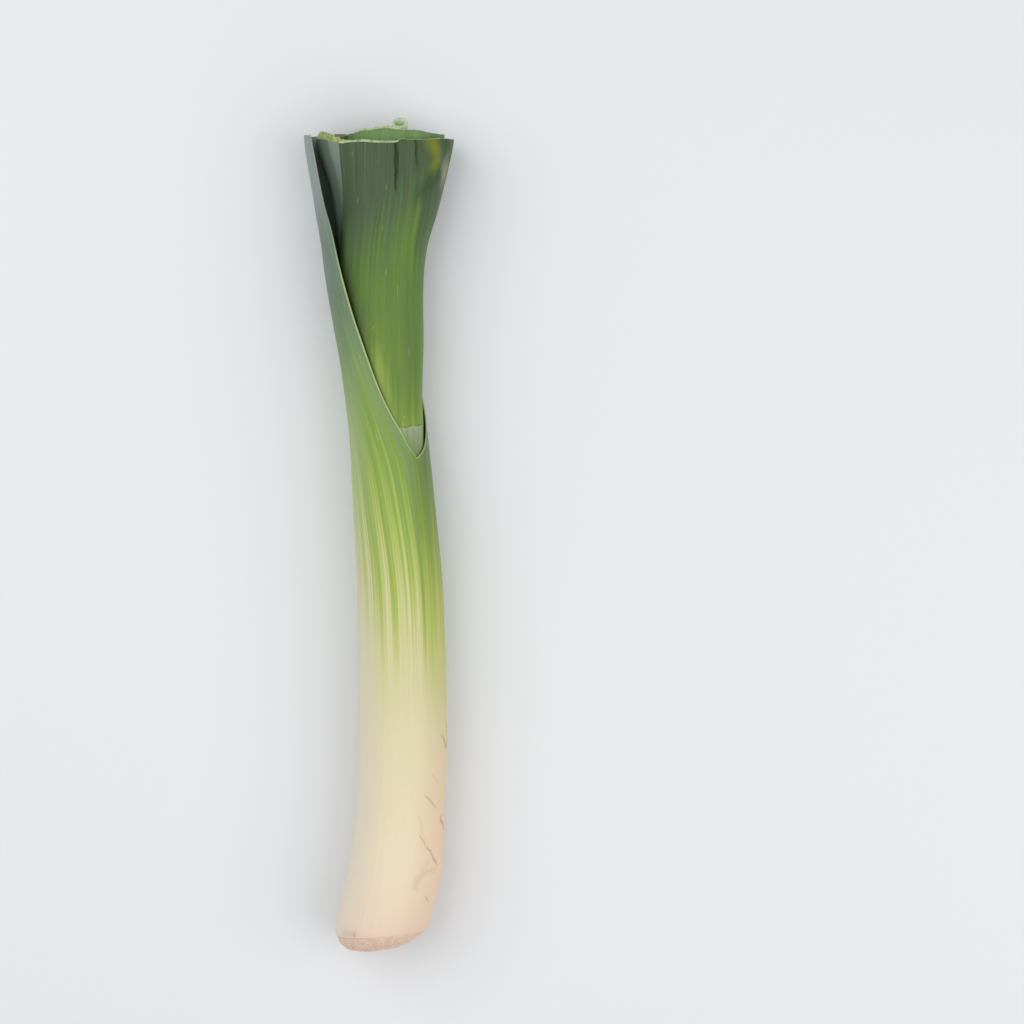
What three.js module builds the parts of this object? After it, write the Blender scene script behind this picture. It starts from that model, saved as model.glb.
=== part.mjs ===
// A trimmed leek lying on its back, in millimetres. +Y runs from the root end to the cut leaves, +Z is up.
// Its leaves are nested tubes: each is a closed sheath round the next one, and opens above its mouth
// into a blade that keeps only the side of its keel. Keels stand left and right in turn.
//
// Every cross-section is drawn on the same rays. A ray starts on the round heart and ends on the leek's
// outer shape. The leaves share the ray's length between them, so they nest without touching, and where
// a leaf has ended, the leaves inside it move out to take its room.
import * as THREE from "three";

// Lengths along the leek, from the cut roots
const LEAF_CUT = 265.7;
const BACK_CUT_EXTRA = 5.5;
const HEART_CUT = 275;
const MIDDLE = 137.25;
const AXIS_HEIGHT = 15.5;

// The axis's sway to the right, and the outer shape's half width and half depth, each as
// [length along the leek, value]
const SWAY = [
  [0, -0.2], [8, 1.3], [15, 2.7], [27, 5.2], [42, 6.6], [72, 7.8], [115, 7.2], [150, 4.8],
  [190, 1.7], [228, -1.5], [250, -0.4], [276, 0.4],
];
const HALF_WIDTH = [
  [4, 14.2], [8, 15.5], [15, 16.1], [28, 15.8], [48, 14.8], [72, 14.8], [115, 14.2], [152, 13.4],
  [168, 13.1], [206, 15.0], [230, 17.2], [243, 20.1], [268, 25.1], [276, 26.4],
];
const HALF_DEPTH = [
  [4, 14.2], [8, 15.4], [15, 16], [28, 15.8], [48, 14.8], [115, 14.2], [168, 13.1], [225, 14.6], [276, 16],
];

// The base is cut a little askew, so the right side starts higher, as a rise per millimetre to the right
const BASE_TILT = 0.07;
const BASE_TILT_END = 45;

// The fan stands on two folds of its leaves, with a hollow between them: angle, reach and spread in degrees
const FOLDS = [
  { angle: 238, reach: 1.5, spread: 17 },
  { angle: 270, reach: -1.2, spread: 15 },
  { angle: 305, reach: 3.0, spread: 19 },
];
const FOLDS_START = 232;
const FOLDS_FULL = 258;

// Keels, as ridges of the outer shape
const KEEL_ANGLES = [212, 32];
const KEEL_REACH = 1.0;
const KEEL_SPREAD = 13;

// The rolled heart, which leans to the right at the top
const HEART_RADIUS = 2.8;
const HEART_LEAN = 6.6;
const HEART_SLANT = 4.2;
const HEART_SLANT_LENGTH = 9;
const HEART_HOLE_RADIUS = 1.7;
const HEART_HOLE_DEPTH = 9;

// Leaf tissue and the room between leaves
const TISSUE = 1.25;
const GAP = 0.38;
const GAP_IN_FAN = 0.95;
const KEEL_TISSUE = 1.4;
const KEEL_TISSUE_SPREAD = 22;

// Each leaf, from the outermost in: the keel's angle, how far its front is cut past LEAF_CUT, its share of the
// loose room in the fan below and at the cut, and its margin. A margin gives the length along the leek
// at which the blade's edge is so many degrees from the keel, from the mouth at 180 up.
const LEAVES = [
  {
    keel: 225, cut: 2.6, roomBelow: 3.2, roomAtCut: 0.12, backTuck: 0.45,
    margin: [
      [180, 162], [167, 165.5], [155, 171], [143, 176], [125, 186.5], [103, 206], [92, 222], [80, 237],
      [69, 248], [60, 272],
    ],
  },
  {
    keel: 32, cut: 0, roomBelow: 0.5, roomAtCut: 0.7,
    margin: [[180, 197], [150, 208], [128, 222], [114, 238], [109, 250], [108, 272]],
  },
  {
    keel: 208, cut: 0.3, roomBelow: 1, roomAtCut: 1.7,
    margin: [[180, 211], [150, 222], [125, 238], [108, 254], [102, 274]],
  },
  { keel: 26, cut: 4.6, roomBelow: 1, roomAtCut: 1.2, margin: [[180, 225], [150, 238], [130, 252], [118, 274]] },
  { keel: 214, cut: 3.9, roomBelow: 1, roomAtCut: 0.9, margin: [[180, 238], [152, 252], [136, 274]] },
  { keel: 36, cut: 3.4, roomBelow: 1, roomAtCut: 0.7, margin: [[180, 252], [162, 264], [152, 276]] },
  { keel: 210, cut: 4.4, roomBelow: 1, roomAtCut: 0.4, margin: null },
];
const YIELD_MARGIN = 10;
const YIELD_SPREAD = 52;
const YIELD_LENGTH = 40;

// The stem disc: its bowl below the sheaths and its dome among them, as [radius, length along the leek]
const BOWL = [[0, 0.5], [5.5, 0], [9.6, 1.3], [12.2, 2.9], [13.8, 4.6]];
const DOME_RISE = 6.5;
const DOME_RADIUS = 14.4;
const DOME_EDGE = 5.6;
const ROOT_SCARS = 14;
const ROOT_SCAR_RELIEF = 0.22;
const DISC_SHIFT = 1.3;

const COLUMNS = 28;
const ROW_SHARES = [0, 0.012, 0.035, 0.08, 0.16, 0.27, 0.4, 0.52, 0.6, 0.67, 0.74, 0.8, 0.855, 0.905, 0.955, 1];

const DEGREE = Math.PI / 180;
const clamp01 = (value) => Math.min(1, Math.max(0, value));
const blend = (from, to, value) => {
  const t = clamp01((value - from) / (to - from));
  return t * t * (3 - 2 * t);
};
const bell = (distance, spread) => Math.exp(-((distance / spread) ** 2));
const degreesApart = (a, b) => ((((a - b) % 360) + 540) % 360) - 180;

// A smooth curve through points with rising first numbers, which never swings past a point
function curve(points) {
  const last = points.length - 1;
  const slope = (i) => (points[i + 1][1] - points[i][1]) / (points[i + 1][0] - points[i][0]);
  const tangent = points.map((_, i) => {
    if (i === 0) return slope(0);
    if (i === last) return slope(last - 1);
    const before = slope(i - 1);
    const after = slope(i);
    return before * after <= 0 ? 0 : (2 * before * after) / (before + after);
  });
  return (at) => {
    let i = 0;
    while (i < last - 1 && at > points[i + 1][0]) i += 1;
    const span = points[i + 1][0] - points[i][0];
    const t = clamp01((at - points[i][0]) / span);
    const [u, v] = [t * t * (3 - 2 * t), t * (1 - t)];
    return points[i][1] * (1 - u) + points[i + 1][1] * u + span * v * (tangent[i] * (1 - t) - tangent[i + 1] * t);
  };
}

const sway = curve(SWAY);
const halfWidth = curve(HALF_WIDTH);
const halfDepth = curve(HALF_DEPTH);
for (const leaf of LEAVES) {
  if (!leaf.margin) continue;
  leaf.marginLength = curve(leaf.margin.map(([angle, s]) => [-angle, s]));
  leaf.marginAngle = curve(leaf.margin.map(([angle, s]) => [s, angle]));
}

// Radius of the outer shape: an ellipse with two keels and with folds below the fan
function outerRadius(angle, s) {
  const ellipse = 1 / Math.hypot(Math.cos(angle * DEGREE) / halfWidth(s), Math.sin(angle * DEGREE) / halfDepth(s));
  const keels = KEEL_ANGLES.reduce((sum, keel) => sum + bell(degreesApart(angle, keel), KEEL_SPREAD), 0);
  const folds = FOLDS.reduce((sum, fold) => sum + fold.reach * bell(degreesApart(angle, fold.angle), fold.spread), 0);
  return ellipse + KEEL_REACH * keels * blend(195, 250, s) + folds * blend(FOLDS_START, FOLDS_FULL, s);
}

// The ray at an angle: its start on the heart, its direction and its length
function ray(angle, s) {
  const [c, d] = [Math.cos(angle * DEGREE), Math.sin(angle * DEGREE)];
  const lean = HEART_LEAN * blend(170, HEART_CUT, s);
  const start = new THREE.Vector2(lean + HEART_RADIUS * c, HEART_RADIUS * d);
  const reach = new THREE.Vector2(c, d).multiplyScalar(outerRadius(angle, s)).sub(start);
  const length = reach.length();
  return { start, direction: reach.divideScalar(length), length };
}

// Degrees from a leaf's keel, seen as its margin sees them: the back half of some blades is tucked in
function fromKeel(leaf, angle) {
  const apart = degreesApart(angle, leaf.keel);
  const turn = Math.abs(apart);
  return apart > 0 ? turn * (1 + (leaf.backTuck ?? 0) * (1 - turn / 180)) : turn;
}

// How much room a leaf takes: all of it where the leaf is, none well past its margin
function presence(leaf, angle, s) {
  if (!leaf.margin || s <= leaf.margin[0][1]) return 1;
  const past = fromKeel(leaf, angle) - leaf.marginAngle(s) - YIELD_MARGIN;
  return 1 - blend(0, YIELD_SPREAD, past) * blend(0, YIELD_LENGTH, s - leaf.margin[0][1]);
}

// Where one leaf lies on a ray: the distances of its two faces from the heart
function leafSpan(index, angle, s, length) {
  const shares = LEAVES.map((leaf) => presence(leaf, angle, s));
  const total = shares.reduce((sum, share) => sum + share, 0);
  const gap = GAP + (GAP_IN_FAN - GAP) * blend(190, 225, s);
  const tissue = Math.min(TISSUE, (length - GAP) / total - gap);
  const loose = length - GAP - total * (tissue + gap);
  const looseShare = (leaf) => leaf.roomBelow + (leaf.roomAtCut - leaf.roomBelow) * blend(238, 266, s);
  const weights = LEAVES.map((leaf, k) => shares[k] * looseShare(leaf));
  const weight = weights.reduce((sum, value) => sum + value, 0);
  let outer = length;
  for (let k = 0; k < index; k += 1) outer -= shares[k] * (tissue + gap) + (loose * weights[k]) / weight;
  const room = (loose * looseShare(LEAVES[index])) / weight;
  const keel = bell(fromKeel(LEAVES[index], angle), KEEL_TISSUE_SPREAD) * Math.min(KEEL_TISSUE, 0.6 * room);
  return { outer, inner: outer - tissue - keel };
}

const baseTilt = (x, s) => BASE_TILT * x * (1 - blend(DOME_EDGE, BASE_TILT_END, s));

// A point on a ray, pressed flat where the leek's own weight sets it down on the surface below
function pointOn(angle, s, distance) {
  const { start, direction } = ray(angle, s);
  const place = direction.multiplyScalar(distance).add(start);
  return [sway(s) + place.x, s + baseTilt(place.x, s) - MIDDLE, Math.max(0, AXIS_HEIGHT + place.y)];
}

// The knife left the back of the fan a little longer than its front, and some inner leaves past the outer ones
function cutLength(leaf, angle) {
  const front = (1 + Math.sin(angle * DEGREE)) / 2;
  return LEAF_CUT + leaf.cut * front + BACK_CUT_EXTRA * (1 - front) ** 2;
}

function topLength(leaf, angle) {
  const cut = cutLength(leaf, angle);
  return leaf.margin ? Math.min(cut, leaf.marginLength(-fromKeel(leaf, angle))) : cut;
}

const domeLength = (radius) => DOME_EDGE + DOME_RISE * (1 - Math.min(1, radius / DOME_RADIUS) ** 2);

function geometryOf(points, faces) {
  const geometry = new THREE.BufferGeometry();
  geometry.setAttribute("position", new THREE.Float32BufferAttribute(points.flat(), 3));
  geometry.setIndex(faces.flat());
  geometry.computeVertexNormals();
  return geometry;
}

// Faces between two rings of points that start at indices a and b, with ring b further along the leek
function band(a, b, columns, outward) {
  const faces = [];
  for (let i = 0; i < columns; i += 1) {
    const next = (i + 1) % columns;
    const pair = [[a + i, b + i, b + next], [a + i, b + next, a + next]];
    faces.push(...(outward ? pair : pair.map(([p, q, r]) => [p, r, q])));
  }
  return faces;
}

function leafGeometry(index) {
  const leaf = LEAVES[index];
  const points = [];
  const faces = [];
  const rows = ROW_SHARES.length;
  for (const face of ["outer", "inner"]) {
    for (const share of ROW_SHARES) {
      for (let i = 0; i < COLUMNS; i += 1) {
        const angle = (360 * i) / COLUMNS;
        const foot = ray(angle, DOME_EDGE + GAP);
        const footRadius = HEART_RADIUS + leafSpan(index, angle, DOME_EDGE + GAP, foot.length)[face];
        const low = domeLength(footRadius) + GAP;
        const s = low + share * (topLength(leaf, angle) - low);
        points.push(pointOn(angle, s, leafSpan(index, angle, s, ray(angle, s).length)[face]));
      }
    }
  }
  const inner = rows * COLUMNS;
  for (let j = 0; j < rows - 1; j += 1) {
    faces.push(...band(j * COLUMNS, (j + 1) * COLUMNS, COLUMNS, true));
    faces.push(...band(inner + j * COLUMNS, inner + (j + 1) * COLUMNS, COLUMNS, false));
  }
  faces.push(...band(inner, 0, COLUMNS, true));
  faces.push(...band((rows - 1) * COLUMNS, inner + (rows - 1) * COLUMNS, COLUMNS, true));
  return geometryOf(points, faces);
}

// A closed turned shape: rings of points from one pole to the other, each ring given as
// [radius, length along the leek], shaped by a function of angle, radius and length
function ringsGeometry(rings, columns, shape) {
  const points = [];
  const faces = [];
  for (const [radius, s] of rings.slice(1, -1)) {
    for (let i = 0; i < columns; i += 1) points.push(shape((360 * i) / columns, radius, s));
  }
  const count = rings.length - 2;
  for (let j = 0; j < count - 1; j += 1) faces.push(...band(j * columns, (j + 1) * columns, columns, true));
  const low = points.push(shape(0, 0, rings[0][1])) - 1;
  const high = points.push(shape(0, 0, rings[rings.length - 1][1])) - 1;
  for (let i = 0; i < columns; i += 1) {
    const next = (i + 1) % columns;
    faces.push([low, i, next]);
    faces.push([high, (count - 1) * columns + next, (count - 1) * columns + i]);
  }
  return geometryOf(points, faces);
}

// The stem disc that the sheaths grow from, with the roots cut off flush round its bowl
function rootPlateGeometry() {
  const dome = [14.4, 12.4, 9.4, 6, 3, 0].map((radius) => [radius, domeLength(radius)]);
  const shape = (angle, radius, s) => {
    const bowl = radius > 6 && s < DOME_EDGE ? ROOT_SCAR_RELIEF * Math.cos(ROOT_SCARS * angle * DEGREE) : 0;
    const x = (radius + bowl) * Math.cos(angle * DEGREE) - DISC_SHIFT * Math.max(0, 1 - s / DOME_EDGE);
    const z = AXIS_HEIGHT + (radius + bowl) * Math.sin(angle * DEGREE);
    return [sway(s) + x, s + baseTilt(x, s) - MIDDLE, z];
  };
  return ringsGeometry([...BOWL, ...dome], COLUMNS, shape);
}

// The youngest leaves, still rolled together: cut on a slant, with a small hole down the middle of the cut
function heartGeometry() {
  const bottom = domeLength(0) + GAP;
  const sides = [0, 0.1, 0.3, 0.5, 0.62, 0.72, 0.8, 0.87, 0.94, 1].map((share) => [
    HEART_RADIUS - 0.02, bottom + share * (HEART_CUT - bottom),
  ]);
  const hole = [[HEART_HOLE_RADIUS, HEART_CUT], [HEART_HOLE_RADIUS * 0.6, HEART_CUT - HEART_HOLE_DEPTH]];
  const shape = (angle, radius, s) => {
    const height = radius * Math.sin(angle * DEGREE);
    const shorter = (HEART_SLANT * (height + HEART_RADIUS)) / (2 * HEART_RADIUS);
    const slanted = s - shorter * blend(HEART_CUT - HEART_SLANT_LENGTH, HEART_CUT, s);
    const x = sway(s) + HEART_LEAN * blend(170, HEART_CUT, s) + radius * Math.cos(angle * DEGREE);
    return [x, slanted - MIDDLE, AXIS_HEIGHT + height];
  };
  const rings = [[0, bottom], ...sides, ...hole, [0, HEART_CUT - HEART_HOLE_DEPTH]];
  return ringsGeometry(rings, 18, shape);
}

const plain = (color, roughness) => new THREE.MeshStandardMaterial({ color, roughness, metalness: 0 });

function part(name, geometry, material) {
  const mesh = new THREE.Mesh(geometry, material);
  mesh.name = name;
  return mesh;
}

const leek = new THREE.Group();
leek.add(part("root_plate", rootPlateGeometry(), plain(0xd5b7a5, 0.7)));
const leafGreens = [0x9dba6a, 0x5f7f45, 0x4f6350, 0x6b8a48, 0x7c9a4e, 0x8fae5c, 0xa9c46e];
leafGreens.forEach((color, index) => {
  leek.add(part(`leaf_${index + 1}`, leafGeometry(index), plain(color, 0.5)));
});
leek.add(part("heart", heartGeometry(), plain(0xcfdc9a, 0.55)));

export default leek;
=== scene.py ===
# %% [markdown]
# # A leek, cut and trimmed, lying on its back
# A leek is a bundle of leaves. Low down each leaf is a closed tube, the sheath, wrapped round the next leaf.
# Higher up it opens at a mouth and becomes a blade. The knife has cut the blades off short.
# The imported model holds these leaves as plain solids. This lesson draws the same leaves again from the same
# growth rules, but finely: thin margins, veins, wrinkles, cut faces, and colours that follow the growth.

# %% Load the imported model
import bpy
import numpy as np
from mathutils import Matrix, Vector


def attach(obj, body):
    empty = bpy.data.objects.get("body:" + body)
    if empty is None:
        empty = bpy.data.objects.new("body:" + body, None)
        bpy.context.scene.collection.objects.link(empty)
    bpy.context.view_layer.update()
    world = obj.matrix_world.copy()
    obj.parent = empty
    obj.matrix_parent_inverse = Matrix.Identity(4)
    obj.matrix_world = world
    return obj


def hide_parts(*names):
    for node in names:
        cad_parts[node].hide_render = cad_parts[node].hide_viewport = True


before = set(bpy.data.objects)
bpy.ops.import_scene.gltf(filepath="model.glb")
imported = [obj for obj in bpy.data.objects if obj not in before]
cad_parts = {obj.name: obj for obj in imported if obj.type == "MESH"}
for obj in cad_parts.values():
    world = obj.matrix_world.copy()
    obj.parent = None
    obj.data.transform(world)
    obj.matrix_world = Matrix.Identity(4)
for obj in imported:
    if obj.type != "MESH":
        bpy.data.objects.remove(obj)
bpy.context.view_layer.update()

# %% [markdown]
# ## The growth rules
# All lengths here are millimetres, measured along the leek from the cut roots. The shape is given by a few
# curves through points. A cubic that never swings past its points keeps a bulge from growing where none is.

# %% A smooth curve through points
def curve(points):
    """Cubic pieces between the points; each point's tangent is the harmonic mean of the slopes beside it."""
    x, y = np.array(points, float).T
    slope = np.diff(y) / np.diff(x)
    before, after = slope[:-1], slope[1:]
    total = np.where(before * after > 0, before + after, 1)
    inner = np.where(before * after > 0, 2 * before * after / total, 0)
    tangent = np.concatenate([slope[:1], inner, slope[-1:]])

    def value(at):
        i = np.clip(np.searchsorted(x, at, side="right") - 1, 0, len(slope) - 1)
        span = x[i + 1] - x[i]
        t = np.clip((at - x[i]) / span, 0, 1)
        u = t * t * (3 - 2 * t)
        swing = tangent[i] * (1 - t) - tangent[i + 1] * t
        return y[i] * (1 - u) + y[i + 1] * u + span * t * (1 - t) * swing

    return value


def blend(low, high, value):
    """A smooth step from 0 at low to 1 at high."""
    t = np.clip((value - low) / (high - low), 0, 1)
    return t * t * (3 - 2 * t)


def bell(distance, spread):
    """A smooth bump: 1 at distance 0, and 1/e at the spread."""
    return np.exp(-((distance / spread) ** 2))


def apart(a, b):
    """Signed difference of two angles in degrees, from -180 to 180."""
    return (a - b + 180) % 360 - 180


def radians(angle):
    """Radians, from degrees."""
    return angle * np.pi / 180


def nothing(angle, s):
    """Zero at every point of a grid of angles and lengths."""
    return 0 * (angle + s)


# %% The leek's sizes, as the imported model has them
LEAF_CUT = 265.7
BACK_CUT_EXTRA = 5.5
HEART_CUT = 275
MIDDLE = 137.25
AXIS_HEIGHT = 15.5
sway = curve([
    (0, -0.2), (8, 1.3), (15, 2.7), (27, 5.2), (42, 6.6), (72, 7.8), (115, 7.2), (150, 4.8),
    (190, 1.7), (228, -1.5), (250, -0.4), (276, 0.4),
])
half_width = curve([
    (4, 14.2), (8, 15.5), (15, 16.1), (28, 15.8), (48, 14.8), (72, 14.8), (115, 14.2), (152, 13.4),
    (168, 13.1), (206, 15.0), (230, 17.2), (243, 20.1), (268, 25.1), (276, 26.4),
])
half_depth = curve([
    (4, 14.2), (8, 15.4), (15, 16), (28, 15.8), (48, 14.8), (115, 14.2), (168, 13.1), (225, 14.6), (276, 16),
])
BASE_TILT = 0.07
BASE_TILT_END = 45
HEART_RADIUS = 2.8
HEART_LEAN = 6.6
DOME_EDGE = 5.6
DOME_RISE = 6.5
DOME_RADIUS = 14.4
TISSUE = 1.25
GAP = 0.38
GAP_IN_FAN = 0.95
KEEL_TISSUE = 1.4
KEEL_TISSUE_SPREAD = 22
KEEL_TISSUE_SHARE = 0.6
YIELD_MARGIN = 10
YIELD_SPREAD = 52
YIELD_LENGTH = 40
KEEL_ANGLES = (212, 32)
KEEL_REACH = 1.0
KEEL_SPREAD = 13
# Each fold of the fan's back: its angle, how far it reaches out and how wide it is
FOLDS = [(238, 1.5, 17), (270, -1.2, 15), (305, 3.0, 19)]
# Lengths from which to which a feature grows from nothing to its full size
KEELS_GROW = (195, 250)
FOLDS_GROW = (232, 258)
LEAN_GROWS = (170, HEART_CUT)
GAP_GROWS = (190, 225)
ROOM_GROWS = (238, 266)


# %% [markdown]
# A leaf needs six facts: the side its keel is on, how far its front was cut past the others, how loosely it
# sits (lower down, and at the cut), how far the back of its blade is tucked in, and its margin. The margin is
# a list of pairs: so many degrees from the keel, the blade's edge is at such a length. It starts at the
# mouth, 180 degrees from the keel.

# %% The leaves, from the outermost in
class Leaf:
    """One leaf's own numbers, and where its margin and its cut are."""

    def __init__(self, keel, cut, room_below, room_at_cut, margin, back_tuck=0.0):
        self.keel = keel
        self.cut = cut
        self.room_below = room_below
        self.room_at_cut = room_at_cut
        self.back_tuck = back_tuck
        self.mouth = margin[0][1] if margin else HEART_CUT
        self.has_margin = bool(margin)
        if margin:
            self.margin_length = curve([(-angle, s) for angle, s in margin])
            self.margin_angle = curve([(s, angle) for angle, s in margin])

    def from_keel(self, angle):
        """Degrees from the keel as the margin sees them; the tucked back half counts for more."""
        signed = apart(angle, self.keel)
        turn = np.abs(signed)
        return np.where(signed > 0, turn * (1 + self.back_tuck * (1 - turn / 180)), turn)

    def presence(self, angle, s):
        """How much room the leaf takes: 1 where it is, falling to 0 well past its margin."""
        if not self.has_margin:
            return np.ones(np.broadcast(angle, s).shape)
        past = self.from_keel(angle) - self.margin_angle(s) - YIELD_MARGIN
        return 1 - blend(0, YIELD_SPREAD, past) * blend(0, YIELD_LENGTH, s - self.mouth)

    def top(self, angle):
        """The length at which the leaf ends: the knife's cut, or its own margin if that comes first."""
        front = (1 + np.sin(radians(angle))) / 2
        cut = LEAF_CUT + self.cut * front + BACK_CUT_EXTRA * (1 - front) ** 2
        return np.minimum(cut, self.margin_length(-self.from_keel(angle))) if self.has_margin else cut


OUTERMOST, SECOND, THIRD, FOURTH = range(4)
LEAVES = [
    Leaf(225, 2.6, 3.2, 0.12, [
        (180, 162), (167, 165.5), (155, 171), (143, 176), (125, 186.5), (103, 206), (92, 222), (80, 237),
        (69, 248), (60, 272),
    ], back_tuck=0.45),
    Leaf(32, 0, 0.5, 0.7, [(180, 197), (150, 208), (128, 222), (114, 238), (109, 250), (108, 272)]),
    Leaf(208, 0.3, 1, 1.7, [(180, 211), (150, 222), (125, 238), (108, 254), (102, 274)]),
    Leaf(26, 4.6, 1, 1.2, [(180, 225), (150, 238), (130, 252), (118, 274)]),
    Leaf(214, 3.9, 1, 0.9, [(180, 238), (152, 252), (136, 274)]),
    Leaf(36, 3.4, 1, 0.7, [(180, 252), (162, 264), (152, 276)]),
    Leaf(210, 4.4, 1, 0.4, None),
]
print(len(LEAVES), "leaves, with mouths at", [leaf.mouth for leaf in LEAVES])


# %% [markdown]
# Every cross-section is drawn on rays. A ray starts on the round heart and ends on the outer shape, and the
# leaves share its length. So they nest without touching, and an inner leaf moves out where an outer one ends.

# %% Rays, and where a leaf lies on them
def outer_radius(angle, s):
    """An ellipse, with a ridge at each keel, and folds under the fan that it stands on."""
    turn = radians(angle)
    ellipse = 1 / np.hypot(np.cos(turn) / half_width(s), np.sin(turn) / half_depth(s))
    keels = sum(bell(apart(angle, keel), KEEL_SPREAD) for keel in KEEL_ANGLES)
    folds = sum(reach * bell(apart(angle, at), spread) for at, reach, spread in FOLDS)
    return ellipse + KEEL_REACH * keels * blend(*KEELS_GROW, s) + folds * blend(*FOLDS_GROW, s)


def heart_lean(s):
    """Millimetres by which the heart stands to the right of the axis."""
    return HEART_LEAN * blend(*LEAN_GROWS, s)


def rays(angle, s):
    """Each ray's start, direction and length in the plane across the leek."""
    turn = radians(angle)
    start = np.stack([heart_lean(s) + HEART_RADIUS * np.cos(turn), HEART_RADIUS * np.sin(turn) + 0 * s])
    end = np.stack([np.cos(turn), np.sin(turn)]) * outer_radius(angle, s)
    length = np.hypot(*(end - start))
    return start, (end - start) / length, length


def set_down(x, z, s):
    """Metres, from millimetres across the axis and along it: the base is cut askew, the floor presses flat."""
    askew = BASE_TILT * x * (1 - blend(DOME_EDGE, BASE_TILT_END, s))
    height = np.maximum(0, AXIS_HEIGHT + z)
    return np.stack([sway(s) + x, s + askew - MIDDLE, height], axis=-1) / 1000


def place(angle, s, distance):
    """Points that lie so far out on their rays, in metres."""
    start, direction, _ = rays(angle, s)
    x, z = start + direction * distance
    return set_down(x, z, s)


def leaf_span(index, angle, s):
    """Distances from the heart of a leaf's outer and inner face, and its tissue's thickness."""
    length = rays(angle, s)[2]
    shares = [leaf.presence(angle, s) for leaf in LEAVES]
    total = sum(shares)
    gap = GAP + (GAP_IN_FAN - GAP) * blend(*GAP_GROWS, s)
    tissue = np.minimum(TISSUE, (length - GAP) / total - gap)
    loose = length - GAP - total * (tissue + gap)
    at_cut = blend(*ROOM_GROWS, s)
    rooms = [leaf.room_below + (leaf.room_at_cut - leaf.room_below) * at_cut for leaf in LEAVES]
    weight = sum(share * room for share, room in zip(shares, rooms))
    outer = length
    for share, room in zip(shares[:index], rooms[:index]):
        outer = outer - share * (tissue + gap) - loose * share * room / weight
    leaf = LEAVES[index]
    extra = np.minimum(KEEL_TISSUE, KEEL_TISSUE_SHARE * loose * rooms[index] / weight)
    return outer, tissue + extra * bell(leaf.from_keel(angle), KEEL_TISSUE_SPREAD)


def dome_length(radius):
    """The stem disc's dome, on which the sheaths stand: a paraboloid."""
    return DOME_EDGE + DOME_RISE * (1 - np.minimum(1, radius / DOME_RADIUS) ** 2)


# %% [markdown]
# ## From numbers to meshes
# A leaf is a closed shell made of four bands of quads: the outside, the inside, and the two rims that join
# them. Whole arrays go into the mesh at once. Each face remembers whether it is outside, inside or a rim, so
# that each can have its own material.

# %% Put grids into a mesh
SHARP_FROM = 50


def add(name, data):
    """A new object in the scene that shows this data."""
    item = bpy.data.objects.new(name, data)
    bpy.context.scene.collection.objects.link(item)
    return item


def band_faces(first, second):
    """Quads between two rows of vertex numbers that run round the leek."""
    corners = [first, second, np.roll(second, -1, -1), np.roll(first, -1, -1)]
    return np.stack(corners, axis=-1).reshape(-1, 4)


def make_mesh(name, points, faces, slots, materials, values):
    """A mesh object at the origin from arrays of points, quads, material numbers and named point values."""
    mesh = bpy.data.meshes.new(name)
    mesh.from_pydata(points.reshape(-1, 3), [], faces)
    mesh.polygons.foreach_set("material_index", slots.astype(np.int32))
    for material in materials:
        mesh.materials.append(material)
    for key, value in values.items():
        kind, field = ("FLOAT_VECTOR", "vector") if value.ndim == 2 else ("FLOAT", "value")
        mesh.attributes.new(key, kind, "POINT").data.foreach_set(field, value.ravel())
    mesh.shade_smooth()
    mesh.set_sharp_from_angle(angle=radians(SHARP_FROM))
    mesh.update()
    piece = add(name, mesh)
    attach(piece, "root")
    return piece


# %% [markdown]
# ## The shader's little language
# A material here is a sum of simple things: a colour that changes along the leek, stripes along the veins, a
# grey bloom of wax. Written as node after node that is hard to read, so a small class lets Python's own
# arithmetic add the nodes.

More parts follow.
